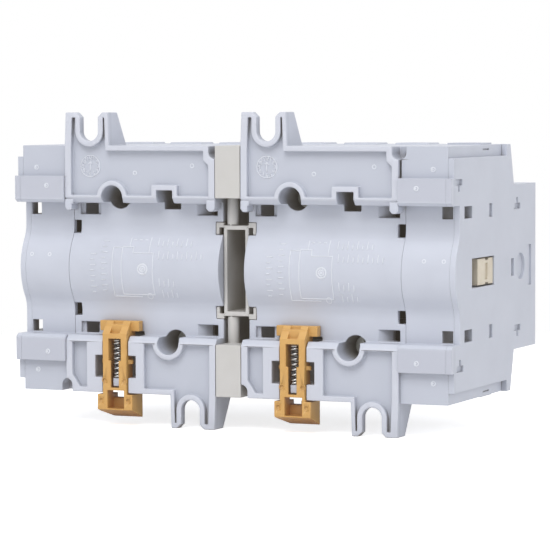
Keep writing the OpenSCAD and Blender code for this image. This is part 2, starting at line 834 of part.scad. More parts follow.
module clip_spring() {
  color(steel_grey) translate([clip_x, -spring_axis_d, 0])
    coil(clip_spring_d/2, 0.5, -spring_bottom, -spring_top, 10);
}

// Contact carrier of one switch: a beam along X with a slot for each strip
module beam(x0, x1, poles) {
  difference() {
    slab(x0, x1, carrier_rear, carrier_front, -carrier_h/2, carrier_h/2);
    for (x = poles) slab(x - 3, x + 3, carrier_rear + 2, carrier_front - 2, -carrier_h, carrier_h);
  }
}

module carrier(side) {
  color(carrier_cream) beam(
    side*unit_x - unit_w/2 + 0.3, side*unit_x + unit_w/2 - 0.3,
    [for (i = [-1:1]) side*unit_x + i*pole_pitch]);
}

module pole_slider() {
  x0 = pole_in_x - 0.2;
  x1 = pole_out_x - 0.4;
  color(carrier_cream) difference() {
    beam(x0, x1, [pole_x]);
    slab(x1 - 0.6, x1 + 1, carrier_rear + 5.4, carrier_rear + 8, -2.2, 2.2);
    for (s = [0, 1]) mirror([0, 0, s])
      slab(x0, x1 + 1, carrier_rear + 6, carrier_rear + 8.4, carrier_h/2 - 0.5, carrier_h);
  }
}

// X of the four poles on one side
function poles_of(side) = concat([for (i = [-1:1]) side*unit_x + i*pole_pitch], [side*pole_x]);

module contact_bridges(side) {
  color(copper_red) for (x = poles_of(side)) {
    slab(x - strip_w/2, x + strip_w/2, bridge_rear, bridge_front, -bridge_half, bridge_half);
    for (z = [-pad_z, pad_z]) translate([x, 0, z]) rod_y(pad_r, bridge_rear - pad_t, bridge_rear);
  }
}

// Springs between the carrier's front bar and the strips
module contact_springs(side) {
  color(steel_grey) for (x = poles_of(side))
    translate([x, -bridge_front - 0.05, 0]) rotate([90, 0, 0])
      coil(1.9, 0.5, 0, carrier_front - 2 - bridge_front - 0.1, 4);
}

// Fixed contact: a strip into the cage, a riser towards the rear and a tongue with its pad
module fixed_contacts(side, top) {
  tongue = fixed_pad_front - pad_t;
  color(copper_red) turned(top) for (x = poles_of(top ? side : -side)) {
    slab(x - strip_w/2, x + strip_w/2, wire_front, strip_front, riser_z, cage_out - 0.6);
    slab(x - strip_w/2, x + strip_w/2, tongue - strip_t, wire_front + eps, riser_z, riser_z + strip_t);
    slab(x - strip_w/2, x + strip_w/2, tongue - strip_t, tongue, riser_z - 6, riser_z + strip_t);
    translate([x, 0, pad_z]) rod_y(pad_r, tongue, fixed_pad_front);
  }
}

module cages(side, top) {
  color(zinc_grey) turned(top) for (x = poles_of(top ? side : -side))
    difference() {
      slab(x - cage_w/2, x + cage_w/2, cage_rear, cage_front, cage_in, cage_out);
      slab(x - cage_w/2 + 1.2, x + cage_w/2 - 1.2, wire_rear, strip_front + 0.6, cage_in - 1, cage_out + 1);
      translate([x, 0, screw_z]) rod_y(shank_r + screw_clear, cage_rear + 2, cage_front + 1);
    }
}

module terminal_screws(side, top) {
  color(steel_grey) turned(top) for (x = poles_of(top ? side : -side))
    translate([x, 0, screw_z]) difference() {
      union() {
        rod_y(screw_head_d/2, head_front - head_t, head_front);
        rod_y(shank_r, strip_front + 0.1, head_front);
      }
      for (a = [0, 90]) rotate([0, a, 0])
        translate([-screw_head_d/2 + 1, -head_front - 1, -0.5]) cube([screw_head_d - 2, 2.2, 1]);
    }
}

module housing_screws(side) {
  color(steel_grey) at_unit(side) for (top = [true, false]) turned(top)
    translate([driver_hole_x, 0, driver_hole_z]) difference() {
      union() {
        rod_y(2.6, boss_floor - 1.9, boss_floor - 0.02);
        rod_y(1.5, boss_floor - 0.1, split_d + 6);
      }
      for (a = [0, 90]) rotate([0, a, 0]) slab(-1.6, 1.6, boss_floor - 2.5, boss_floor - 0.9, -0.35, 0.35);
    }
}

// Spindle with a face cam on its rear end and a square for its gear
module drive_spindle(side) {
  flat = spindle_r*1.3;
  color(gear_white) at_unit(side) {
    rod_y(spindle_r, spindle_rear, gear_back - 0.3);
    slab(-flat/2, flat/2, gear_back - 0.4, gear_front - 0.2, -flat/2, flat/2);
    difference() {
      rod_y(cam_r, spindle_rear, spindle_rear + cam_t);
      slab(0, cam_r + 1, spindle_rear - 1, spindle_rear + cam_t/2, -cam_r, cam_r);
    }
  }
}

// Torsion spring around the spindle, in front of the cam
module snap_spring(side) {
  color(steel_grey) at_unit(side)
    translate([0, -snap_rear, 0]) rotate([90, 0, 0]) coil(snap_r, 0.9, 0, snap_front - snap_rear, 6);
}

// Tooth outline from the involute of the base circle, thinned by the backlash
function involute(base, r) = sqrt(max(0, pow(r/base, 2) - 1))*180/PI - acos(min(1, base/r));
function tooth_half(r) =
  90/gear_teeth - backlash/4/gear_r*180/PI + involute(gear_r*cos(20), gear_r) - involute(gear_r*cos(20), r);
function flank_radii() =
  [gear_r - 1.2*gear_module, gear_r - 0.4*gear_module, gear_r + 0.3*gear_module, gear_r + 0.9*gear_module];
function tooth_points(a) = concat(
  [for (r = flank_radii()) [r*cos(a - tooth_half(r)), r*sin(a - tooth_half(r))]],
  [for (i = [3:-1:0]) let (r = flank_radii()[i]) [r*cos(a + tooth_half(r)), r*sin(a + tooth_half(r))]]);

module gear(phase) {
  into_y(gear_back, gear_front)
    polygon([for (i = [0:gear_teeth - 1]) each tooth_points(phase + i*360/gear_teeth)]);
}

module spindle_gear(side) {
  flat = spindle_r*1.3 + 0.1;
  color(gear_white) at_unit(side) difference() {
    gear(180/gear_teeth);
    slab(-flat/2, flat/2, gear_back - 1, gear_front + 1, -flat/2, flat/2);
  }
}

// Middle gear in one piece with the shaft that carries the handle
module handle_gear() {
  flat = hub_r*1.3;
  color(gear_white) difference() {
    union() {
      gear(0);
      rod_y(hub_r, gear_front - eps, grip_back);
      slab(-flat/2, flat/2, grip_back - eps, grip_back + 7, -flat/2, flat/2);
      rod_y(3, gear_back - 0.3 - box_wall, gear_back + eps);
    }
    rod_y(1.5, grip_back - 4, grip_back + 8);
  }
}

// Room of the gears between two depths
module gearbox_room(d0, d1) {
  half_w = box_half_w - box_wall;
  half_h = box_h/2 - box_wall;
  slab(-half_w, half_w, d0, d1, -half_h, half_h);
}

module gearbox_base() {
  color(box_grey) difference() {
    slab(-box_half_w, box_half_w, box_back, gear_front, -box_h/2, box_h/2);
    gearbox_room(box_back + box_wall, gear_front + 1);
    for (s = [-1, 1]) translate([s*unit_x, 0, 0]) rod_y(spindle_r + run_clear, box_back - 1, gear_back);
    rod_y(3 + run_clear, box_back - 1, gear_back);
  }
  color(box_grey) for (s = [-1, 1], t = [-1, 1])
    translate([s*(box_half_w - 4), 0, t*(box_h/2 - 4)]) difference() {
      rod_y(2.6, box_back + box_wall - eps, gear_front);
      rod_y(1.25, box_back + box_wall, gear_front + 1);
    }
}

module gearbox_cover() {
  color(box_grey) difference() {
    slab(-box_half_w, box_half_w, gear_front + 0.05, box_front, -box_h/2, box_h/2);
    gearbox_room(gear_front - 1, gear_front + 0.3);
    rod_y(hub_r + run_clear, gear_front - 1, box_front + 1);
    for (s = [-1, 1], t = [-1, 1])
      translate([s*(box_half_w - 4), 0, t*(box_h/2 - 4)]) {
        rod_y(1.4, gear_front - 1, box_front + 1);
        rod_y(2.6, box_front - 1, box_front + 1);
      }
  }
}

module gearbox_screws() {
  color(steel_grey) for (s = [-1, 1], t = [-1, 1])
    translate([s*(box_half_w - 4), 0, t*(box_h/2 - 4)]) difference() {
      union() {
        rod_y(2.4, box_front - 0.95, box_front + 0.4);
        rod_y(1.2, gear_front - 2.5, box_front);
      }
      for (a = [0, 90]) rotate([0, a, 0]) slab(-1.5, 1.5, box_front - 0.4, box_front + 1, -0.3, 0.3);
    }
}

// Leaf that presses on the middle gear's shaft side and holds the three positions
module index_spring() {
  high = box_h/2 - box_wall - 0.1;
  color(steel_grey) slab(-9, 9, gear_back + 0.4, gear_front - 0.4, high - 0.6, high);
}

module handle() {
  flat = hub_r*1.3 + 0.1;
  low = -grip_l/2 + grip_w/2;
  high = grip_l/2;
  color(handle_black) difference() {
    union() {
      rod_y(16, grip_back, grip_back + 4);
      hull() {
        slab(-grip_w/2, grip_w/2, grip_back + 2, grip_back + handle_d - 3, low, high);
        slab(-grip_w/2 + 2, grip_w/2 - 2, grip_back + 2, grip_back + handle_d, low + 2, high - 3);
      }
    }
    slab(-flat/2, flat/2, grip_back - 1, grip_back + 7.5, -flat/2, flat/2);
    rod_y(1.7, grip_back, grip_back + handle_d + 1);
    rod_y(3.2, grip_back + 10, grip_back + handle_d + 1);
  }
}

module handle_screw() {
  color(steel_grey) difference() {
    union() {
      rod_y(2.8, grip_back + 10.02, grip_back + 12);
      rod_y(1.42, grip_back - 2, grip_back + 11);
    }
    for (a = [0, 90]) rotate([0, a, 0]) slab(-1.8, 1.8, grip_back + 11.2, grip_back + 13, -0.35, 0.35);
  }
}

base_place(1);  // base_a
base_place(-1);  // base_b
cover_place(1);  // cover_a
cover_place(-1);  // cover_b
color(housing_grey) at_end(1) pole_inner(1);  // pole_inner_a
color(housing_grey) at_end(-1) pole_inner(-1);  // pole_inner_b
color(housing_grey) at_end(1) pole_shell();  // pole_shell_a
color(housing_grey) at_end(-1) pole_shell();  // pole_shell_b
coupling_spacer();
at_unit(1) rail_clip();  // rail_clip_a
at_unit(-1) rail_clip();  // rail_clip_b
at_unit(1) clip_spring();  // clip_spring_a
at_unit(-1) clip_spring();  // clip_spring_b
carrier(1);  // carrier_a
carrier(-1);  // carrier_b
at_end(1) pole_slider();  // pole_slider_a
at_end(-1) pole_slider();  // pole_slider_b
contact_bridges(1);  // contact_bridges_a
contact_bridges(-1);  // contact_bridges_b
contact_springs(1);  // contact_springs_a
contact_springs(-1);  // contact_springs_b
fixed_contacts(1, true);  // top_contacts_a
fixed_contacts(-1, true);  // top_contacts_b
fixed_contacts(1, false);  // bottom_contacts_a
fixed_contacts(-1, false);  // bottom_contacts_b
cages(1, true);  // top_cages_a
cages(-1, true);  // top_cages_b
cages(1, false);  // bottom_cages_a
cages(-1, false);  // bottom_cages_b
terminal_screws(1, true);  // top_screws_a
terminal_screws(-1, true);  // top_screws_b
terminal_screws(1, false);  // bottom_screws_a
terminal_screws(-1, false);  // bottom_screws_b
housing_screws(1);  // housing_screws_a
housing_screws(-1);  // housing_screws_b
drive_spindle(1);  // drive_spindle_a
drive_spindle(-1);  // drive_spindle_b
snap_spring(1);  // snap_spring_a
snap_spring(-1);  // snap_spring_b
spindle_gear(1);  // spindle_gear_a
spindle_gear(-1);  // spindle_gear_b
gearbox_base();
gearbox_cover();
gearbox_screws();
handle_gear();
index_spring();
handle();
handle_screw();
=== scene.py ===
# %% [markdown]
# # A changeover switch, seen from its rail side
#
# The CAD model already holds every moulding, screw and spring of this switch at its real size.
# This lesson dresses it: soft moulded edges, real coil springs, raised marks, materials, light
# and a camera. Everything is in metres, with the rail along X, the rear towards +Y and Z up.

# %% Load the frame
import json
import math

import bmesh
import bpy
import numpy as np
from mathutils import Matrix, Vector

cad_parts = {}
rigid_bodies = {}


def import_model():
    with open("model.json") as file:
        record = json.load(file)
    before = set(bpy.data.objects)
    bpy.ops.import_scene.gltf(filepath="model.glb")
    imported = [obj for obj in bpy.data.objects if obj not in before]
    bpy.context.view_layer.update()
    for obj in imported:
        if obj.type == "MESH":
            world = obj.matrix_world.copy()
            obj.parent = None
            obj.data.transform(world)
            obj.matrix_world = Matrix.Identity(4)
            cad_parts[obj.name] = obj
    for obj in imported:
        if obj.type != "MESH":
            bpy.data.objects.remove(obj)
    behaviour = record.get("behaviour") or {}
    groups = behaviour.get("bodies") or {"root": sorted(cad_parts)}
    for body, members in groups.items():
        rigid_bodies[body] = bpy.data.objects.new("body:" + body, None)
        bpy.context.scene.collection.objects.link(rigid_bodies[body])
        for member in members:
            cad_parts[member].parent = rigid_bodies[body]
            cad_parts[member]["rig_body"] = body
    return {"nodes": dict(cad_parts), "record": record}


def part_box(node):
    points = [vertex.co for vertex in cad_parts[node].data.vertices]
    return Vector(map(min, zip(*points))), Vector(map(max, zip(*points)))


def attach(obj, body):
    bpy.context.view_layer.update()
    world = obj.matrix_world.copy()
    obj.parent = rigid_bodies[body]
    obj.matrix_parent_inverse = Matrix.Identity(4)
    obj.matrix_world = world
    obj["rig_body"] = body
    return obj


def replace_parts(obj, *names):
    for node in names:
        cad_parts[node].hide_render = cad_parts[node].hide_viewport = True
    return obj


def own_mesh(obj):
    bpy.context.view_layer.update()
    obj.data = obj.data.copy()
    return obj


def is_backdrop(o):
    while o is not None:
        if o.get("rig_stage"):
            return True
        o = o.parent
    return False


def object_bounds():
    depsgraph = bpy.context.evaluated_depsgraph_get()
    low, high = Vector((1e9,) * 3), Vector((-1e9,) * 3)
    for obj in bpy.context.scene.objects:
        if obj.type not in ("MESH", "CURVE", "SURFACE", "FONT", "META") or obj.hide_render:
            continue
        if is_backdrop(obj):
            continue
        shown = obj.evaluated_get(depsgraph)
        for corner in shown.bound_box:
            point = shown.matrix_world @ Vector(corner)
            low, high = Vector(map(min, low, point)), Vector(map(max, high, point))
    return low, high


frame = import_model()
nodes = frame["nodes"]
cad_low, cad_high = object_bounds()
MM = 0.001
print("CAD nodes:", len(nodes), "box in mm:", [round(v / MM, 1) for v in (*cad_low, *cad_high)])

# %% [markdown]
# ## Camera
#
# The photograph looks at the rear from the right and slightly from above, through a long lens.
# A long lens keeps the verticals nearly parallel, so its place matters more than its focal
# length: it stands 0.77 m away and turns around a point in the middle of the rail channel.

# %% Camera
VIEW_AZIMUTH = math.radians(203.54)
VIEW_ELEVATION = math.radians(3.37)
VIEW_ROLL = math.radians(-0.22)
VIEW_DISTANCE = 0.76912
VIEW_TARGET = np.array([-0.0138, 0.0, -0.00053])
PICTURE_SIDE = 550
FOCAL_PIXELS = 2904.08
SENSOR = 36.0

towards_camera = np.array([
    math.sin(VIEW_AZIMUTH) * math.cos(VIEW_ELEVATION),
    -math.cos(VIEW_AZIMUTH) * math.cos(VIEW_ELEVATION),
    math.sin(VIEW_ELEVATION),
])
level_right = np.cross(-towards_camera, [0.0, 0.0, 1.0])
level_right /= np.linalg.norm(level_right)
level_up = np.cross(level_right, -towards_camera)
right = level_right * math.cos(VIEW_ROLL) + level_up * math.sin(VIEW_ROLL)
up = level_up * math.cos(VIEW_ROLL) - level_right * math.sin(VIEW_ROLL)
place = VIEW_TARGET + towards_camera * VIEW_DISTANCE

camera_data = bpy.data.cameras.new("camera")
camera_data.sensor_width = SENSOR
camera_data.lens = SENSOR * FOCAL_PIXELS / PICTURE_SIDE
camera_data.clip_start = 0.01
camera_data.clip_end = 20.0
camera = bpy.data.objects.new("camera", camera_data)
camera.matrix_world = Matrix([
    [right[0], up[0], towards_camera[0], place[0]],
    [right[1], up[1], towards_camera[1], place[1]],
    [right[2], up[2], towards_camera[2], place[2]],
    [0.0, 0.0, 0.0, 1.0],
])
bpy.context.scene.collection.objects.link(camera)
bpy.context.scene.camera = camera
bpy.context.scene.view_settings.view_transform = "Standard"
print("camera at", np.round(place, 3), "lens", round(camera_data.lens, 1), "mm")

# %% [markdown]
# ## Materials
#
# Every finish is a Principled shader with two layers of noise on Object coordinates. A slow
# noise shifts the colour a little, as flow in a moulding does. A fine noise makes the skin that
# spark erosion leaves in a mould, as bump and as a change of roughness. Since every object sits
# at the origin, Object coordinates are metres in the shared frame and no pattern slides.

# %% Material helpers
def linear(colour):
    """Linear value of each sRGB channel from 0 to 255: c/12.92 below 0.04045, else ((c + 0.055)/1.055)^2.4."""
    c = np.asarray(colour, float) / 255
    return tuple(np.where(c <= 0.04045, c / 12.92, ((c + 0.055) / 1.055) ** 2.4)) + (1.0,)


def noise_of(tree, coordinates, size, detail=3.0):
    """A noise texture whose blobs are about `size` metres across."""
    noise = tree.nodes.new("ShaderNodeTexNoise")
    noise.inputs["Scale"].default_value = 1 / size
    noise.inputs["Detail"].default_value = detail
    tree.links.new(coordinates, noise.inputs["Vector"])
    return noise.outputs["Fac"]


def ramp_of(tree, value, low, high, from_low=0.3, from_high=0.7):
    """A Map Range node from the noise's usual span to low..high."""
    ramp = tree.nodes.new("ShaderNodeMapRange")
    ramp.inputs["From Min"].default_value = from_low
    ramp.inputs["From Max"].default_value = from_high
    ramp.inputs["To Min"].default_value = low
    ramp.inputs["To Max"].default_value = high
    tree.links.new(value, ramp.inputs["Value"])
    return ramp.outputs["Result"]


def mixed_colour(tree, factor, first, second):
    """A colour between two, by a factor from 0 to 1."""
    mix = tree.nodes.new("ShaderNodeMix")
    mix.data_type = "RGBA"
    for socket, colour in (("A", first), ("B", second)):
        if isinstance(colour, bpy.types.NodeSocket):
            tree.links.new(colour, mix.inputs[socket])
        else:
            mix.inputs[socket].default_value = colour
    tree.links.new(factor, mix.inputs["Factor"])
    return mix.outputs["Result"]


def product(tree, first, second):
    """Two values multiplied."""
    times = tree.nodes.new("ShaderNodeMath")
    times.operation = "MULTIPLY"
    tree.links.new(first, times.inputs[0])
    tree.links.new(second, times.inputs[1])
    return times.outputs[0]


def plastic(name, light, dark, roughness, grain=0.00022, depth=0.000006, flow=0.012):
    """Moulded plastic: colour between two greys by a slow noise, fine grain as bump and roughness."""
    material = bpy.data.materials.new(name)
    material.use_nodes = True
    tree = material.node_tree
    shader = tree.nodes["Principled BSDF"]
    coordinates = tree.nodes.new("ShaderNodeTexCoord").outputs["Object"]
    slow = ramp_of(tree, noise_of(tree, coordinates, flow, 4.0), 0.0, 1.0)
    fine = noise_of(tree, coordinates, grain, 2.0)
    tree.links.new(mixed_colour(tree, slow, linear(light), linear(dark)), shader.inputs["Base Color"])
    tree.links.new(ramp_of(tree, fine, roughness - 0.05, roughness + 0.07), shader.inputs["Roughness"])
    bump = tree.nodes.new("ShaderNodeBump")
    bump.inputs["Strength"].default_value = 0.5
    bump.inputs["Distance"].default_value = depth
    tree.links.new(fine, bump.inputs["Height"])
    tree.links.new(bump.outputs["Normal"], shader.inputs["Normal"])
    shader.inputs["IOR"].default_value = 1.5
    return material


def paint_glow_in_hollows(material, glow_colour=(44, 41, 37), reach=0.06):
    """Painted light: a faint glow painted into closed rooms, where no sky is in sight within `reach`, so deep hollows
    show a dim warm grey instead of black.
    """
    tree = material.node_tree
    sight = tree.nodes.new("ShaderNodeAmbientOcclusion")
    sight.inputs["Distance"].default_value = reach
    sight.samples = 4
    open_share = ramp_of(tree, sight.outputs["AO"], 0.0, 1.0, 0.02, 0.15)
    shader = tree.nodes["Principled BSDF"]
    tree.links.new(mixed_colour(tree, open_share, linear(glow_colour), linear((0, 0, 0))), shader.inputs["Emission Color"])
    shader.inputs["Emission Strength"].default_value = 1.0


def paint_shade_in_hollows(material, hollow, reach=0.009):
    """Paints shade into the colour: darkens corners a little and turns deep hollows towards the given colour of
    painted shade.

    The share of sky in sight within `reach` metres says how deep a spot lies.
    """
    tree = material.node_tree
    shader = tree.nodes["Principled BSDF"]
    colour = shader.inputs["Base Color"].links[0].from_socket
    sight = tree.nodes.new("ShaderNodeAmbientOcclusion")
    sight.inputs["Distance"].default_value = reach
    sight.samples = 8
    black = linear((0, 0, 0))
    corner_share = ramp_of(tree, sight.outputs["AO"], 0.84, 1.0, 0.35, 0.9)
    open_share = ramp_of(tree, sight.outputs["AO"], 0.0, 1.0, 0.02, 0.4)
    shaded = mixed_colour(tree, corner_share, black, colour)
    tree.links.new(mixed_colour(tree, open_share, linear(hollow), shaded), shader.inputs["Base Color"])


def depth_tint(material, tints):
    """Tints the surfaces beside the channel by their depth, which is -Y, where |Z| is over 18 mm.

    `tints` lists a colour with the two values of Y, in mm, between which it holds.
    """
    tree = material.node_tree
    shader = tree.nodes["Principled BSDF"]
    colour = shader.inputs["Base Color"].links[0].from_socket
    split = tree.nodes.new("ShaderNodeSeparateXYZ")
    tree.links.new(tree.nodes.new("ShaderNodeTexCoord").outputs["Object"], split.inputs[0])
    height = tree.nodes.new("ShaderNodeMath")
    height.operation = "ABSOLUTE"
    tree.links.new(split.outputs["Z"], height.inputs[0])
    beside = ramp_of(tree, height.outputs[0], 0.0, 1.0, 18.4 * MM, 19.6 * MM)
    for tint, deep, shallow in tints:
        above_deep = ramp_of(tree, split.outputs["Y"], 0.0, 1.0, (deep - 0.1) * MM, (deep + 0.1) * MM)
        below_shallow = ramp_of(tree, split.outputs["Y"], 1.0, 0.0, (shallow - 0.1) * MM, (shallow + 0.1) * MM)
        share = product(tree, product(tree, above_deep, below_shallow), beside)
        colour = mixed_colour(tree, share, colour, linear(tint))
    tree.links.new(colour, shader.inputs["Base Color"])


def metal(name, light, dark, roughness, stretch=(1.0, 1.0, 8.0), grain=0.0004):
    """Plated or drawn metal: fine noise drawn out along one axis changes the colour and the roughness."""
    material = bpy.data.materials.new(name)
    material.use_nodes = True
    tree = material.node_tree
    shader = tree.nodes["Principled BSDF"]
    mapping = tree.nodes.new("ShaderNodeMapping")
    mapping.inputs["Scale"].default_value = stretch
    tree.links.new(tree.nodes.new("ShaderNodeTexCoord").outputs["Object"], mapping.inputs["Vector"])
    fine = noise_of(tree, mapping.outputs["Vector"], grain, 3.0)
    shade = ramp_of(tree, fine, 0.0, 1.0)
    tree.links.new(mixed_colour(tree, shade, linear(light), linear(dark)), shader.inputs["Base Color"])
    tree.links.new(ramp_of(tree, fine, roughness - 0.06, roughness + 0.1), shader.inputs["Roughness"])
    shader.inputs["Metallic"].default_value = 1.0
    bump = tree.nodes.new("ShaderNodeBump")
    bump.inputs["Strength"].default_value = 0.3
    bump.inputs["Distance"].default_value = 0.000005
    tree.links.new(fine, bump.inputs["Height"])
    tree.links.new(bump.outputs["Normal"], shader.inputs["Normal"])
    return material


# %% [markdown]
# The colours are read from each part in daylight: a cool pale grey for the housings, a
# warmer one for the spacer, amber for the two clips, cream for the carriers.

# %% Finishes of this switch
finishes = {
    "housing": plastic("housing_grey", (203, 207, 219), (198, 202, 214), 0.42),
    "spacer": plastic("spacer_grey", (206, 204, 202), (200, 198, 195), 0.45),
    "clip": plastic("clip_amber", (218, 172, 103), (210, 162, 94), 0.38, grain=0.0004, flow=0.004),
    "carrier": plastic("carrier_cream", (224, 215, 198), (214, 203, 184), 0.5, flow=0.003),
    "gear_plastic": plastic("acetal_white", (232, 232, 226), (224, 224, 217), 0.35),
    "gearbox": plastic("gearbox_grey", (142, 147, 153), (135, 140, 146), 0.45),
    "handle": plastic("handle_black", (30, 30, 32), (24, 24, 26), 0.4, grain=0.0005),
    "spring_steel": metal("spring_steel", (196, 195, 193), (160, 160, 160), 0.28),
    "copper": metal("contact_copper", (206, 150, 120), (180, 124, 96), 0.32),
    "zinc": metal("zinc_plate", (200, 202, 204), (176, 178, 182), 0.38),
    "screw_steel": metal("screw_plating", (206, 205, 198), (182, 182, 176), 0.3),
}
SUNK_PANEL, RIM, BAND = (194, 198, 210), (206, 209, 220), (192, 195, 207)
depth_tint(finishes["housing"], ((SUNK_PANEL, -2.3, -1.1), (RIM, -0.3, 0.2), (BAND, 0.5, 0.9)))
raised_finish = plastic("raised_marks", (226, 229, 237), (220, 223, 232), 0.4)
# Painted shade: each finish darkens in its corners and turns towards the listed shade colour in deep hollows.
for slot, hollow in (("housing", (120, 113, 104)), ("spacer", (124, 117, 107)), ("clip", (176, 116, 64)), ("carrier", (150, 138, 118))):
    paint_shade_in_hollows(finishes[slot], hollow)
# Painted shade in the hollows of the copper contacts.
paint_shade_in_hollows(finishes["copper"], (88, 84, 78), 0.04)
# Painted light: the deepest rooms of these finishes glow faintly.
for slot in ("housing", "spacer", "clip", "carrier", "copper"):
    paint_glow_in_hollows(finishes[slot])
slot_of = {part["node"]: part["material_slot"] for part in frame["record"]["subparts"]}
for name, node in nodes.items():
    node.data.materials.clear()
    node.data.materials.append(finishes[slot_of[name]])
print("finishes:", ", ".join(finishes))

# %% [markdown]
# ## Soft edges on the mouldings
#
# A mould never leaves a sharp edge, and the thin pale line along each edge is what makes a
# plastic part look moulded. The CAD mesh is loose triangles, so a copy is merged, its flat
# faces are joined, and a Bevel modifier rounds each edge that turns by more than 35 degrees.
# Edges shorter than 0.12 mm belong to tiny moulded dimples and keep their sharpness, because a
# rounding wider than the dimple would fold over itself.

# %% Rounded copies
EDGE_ANGLE = math.radians(35)
SHORTEST_EDGE = 0.12 * MM
LONG_EDGE = 0.5 * MM


def is_tiny_step(edge):
    """An edge under 0.12 mm between edges over 0.5 mm: a step that a rounding would fold over."""
    if edge.calc_length() > SHORTEST_EDGE:
        return False
    others = {other for vert in edge.verts for other in vert.link_edges} - {edge}
    return all(other.calc_length() > LONG_EDGE for other in others)


def rounded(name, radius, segments=2):
    """A merged copy of a CAD node with its sharp edges rounded, which stands for the node."""
    mesh = bpy.data.meshes.new(name + "_moulding")
    work = bmesh.new()
    work.from_mesh(nodes[name].data)
    bmesh.ops.remove_doubles(work, verts=work.verts, dist=0.002 * MM)
    bmesh.ops.dissolve_limit(work, angle_limit=math.radians(1), verts=work.verts, edges=work.edges)
    bmesh.ops.collapse(work, edges=[edge for edge in work.edges if is_tiny_step(edge)])
    bmesh.ops.triangulate(work, faces=work.faces)
    for face in work.faces:
        face.smooth = True
    weight = work.edges.layers.float.new("bevel_weight_edge")
    for edge in work.edges:
        turns = edge.calc_face_angle(0.0) > EDGE_ANGLE
        edge[weight] = 1.0 if turns and edge.calc_length() > SHORTEST_EDGE else 0.0
    work.to_mesh(mesh)
    work.free()
    piece = bpy.data.objects.new(name + "_moulding", mesh)
    bpy.context.scene.collection.objects.link(piece)
    mesh.materials.append(finishes[slot_of[name]])
    bevel = piece.modifiers.new("soft edges", "BEVEL")
    bevel.width = radius
    bevel.segments = segments
    bevel.limit_method = "WEIGHT"
    bevel.loop_slide = False
    bevel.use_clamp_overlap = False
    shading = piece.modifiers.new("flat faces stay flat", "WEIGHTED_NORMAL")
    shading.mode = "FACE_AREA"
    shading.weight = 100
    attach(piece, nodes[name]["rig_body"])
    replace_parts(piece, name)
    return piece


SOFT_EDGES = {
    "base": 0.25, "cover": 0.25, "pole_inner": 0.1, "pole_shell": 0.1, "rail_clip": 0.15, "pole_slider": 0.15,
}
for kind, radius in SOFT_EDGES.items():
    for side in "ab":
        rounded(f"{kind}_{side}", radius * MM)
rounded("coupling_spacer", 0.2 * MM)
rounded("gearbox_base", 0.3 * MM)
rounded("gearbox_cover", 0.3 * MM)
rounded("handle", 0.9 * MM, 3)
print("rounded pieces:", 2 * len(SOFT_EDGES) + 4)

# %% [markdown]
# ## Coil springs
#
# A coil spring is a round wire swept along a helix. With t turns done, the wire's middle is at
# angle 2 pi t and radius R. The first and last turn lie wire on wire, as ground ends do, and
# the turns between share the rest of the length evenly. Each spring fills the box of the CAD
# node that it replaces, so it stands exactly where the solid stands.

# %% Springs
def helix_mesh(middle, along, length, outer, wire, turns, steps=28, around=10):
    """Vertices and faces of a wire of diameter `wire` on a helix of outer diameter `outer`.

    `middle` is the centre of the first end, `along` the axis. For turn t the advance is
    wire t in the end turns and (length - 3 wire)/(turns - 2) a turn between them. The wire's
    ring of points stands square to the path: tangent = (-R sin, R cos, pitch/2 pi).
    """
    t = np.linspace(0.0, turns, int(turns * steps) + 1)
    advance = np.interp(t, [0, 1, turns - 1, turns], [0, wire, length - 2 * wire, length - wire])
    radius = (outer - wire) / 2
    axis = np.asarray(along, float)
    first = np.cross(axis, [0.0, 0.0, 1.0]) if abs(axis[2]) < 0.5 else np.array([1.0, 0.0, 0.0])
    second = np.cross(axis, first)
    angle = 2 * math.pi * t
    outwards = np.outer(np.cos(angle), first) + np.outer(np.sin(angle), second)
    path = np.asarray(middle) + outwards * radius + np.outer(advance + wire / 2, axis)
    tangent = np.gradient(path, axis=0)
    tangent /= np.linalg.norm(tangent, axis=1)[:, None]
    across = np.cross(tangent, outwards)
    turn = np.linspace(0, 2 * math.pi, around, endpoint=False)
    rings = path[:, None] + wire / 2 * (
        outwards[:, None] * np.cos(turn)[None, :, None] + across[:, None] * np.sin(turn)[None, :, None])
    faces = [(i * around + j, i * around + (j + 1) % around, (i + 1) * around + (j + 1) % around, (i + 1) * around + j)
             for i in range(len(t) - 1) for j in range(around)]
    faces += [tuple(range(around))[::-1], tuple((len(t) - 1) * around + j for j in range(around))]
    return rings.reshape(-1, 3), faces


def new_piece(name, parts, slot, body, finish=None):
    """One object from several (vertices, faces) parts, finished and riding on a body."""
    points, faces, start = [], [], 0
    for part_points, part_faces in parts:
        points += [tuple(p) for p in part_points]
        faces += [tuple(i + start for i in face) for face in part_faces]
        start += len(part_points)
    mesh = bpy.data.meshes.new(name)
    mesh.from_pydata(points, [], faces)
    mesh.materials.append(finish or finishes[slot])
    for face in mesh.polygons:
        face.use_smooth = True
    piece = bpy.data.objects.new(name, mesh)
    bpy.context.scene.collection.objects.link(piece)
    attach(piece, body)
    return piece


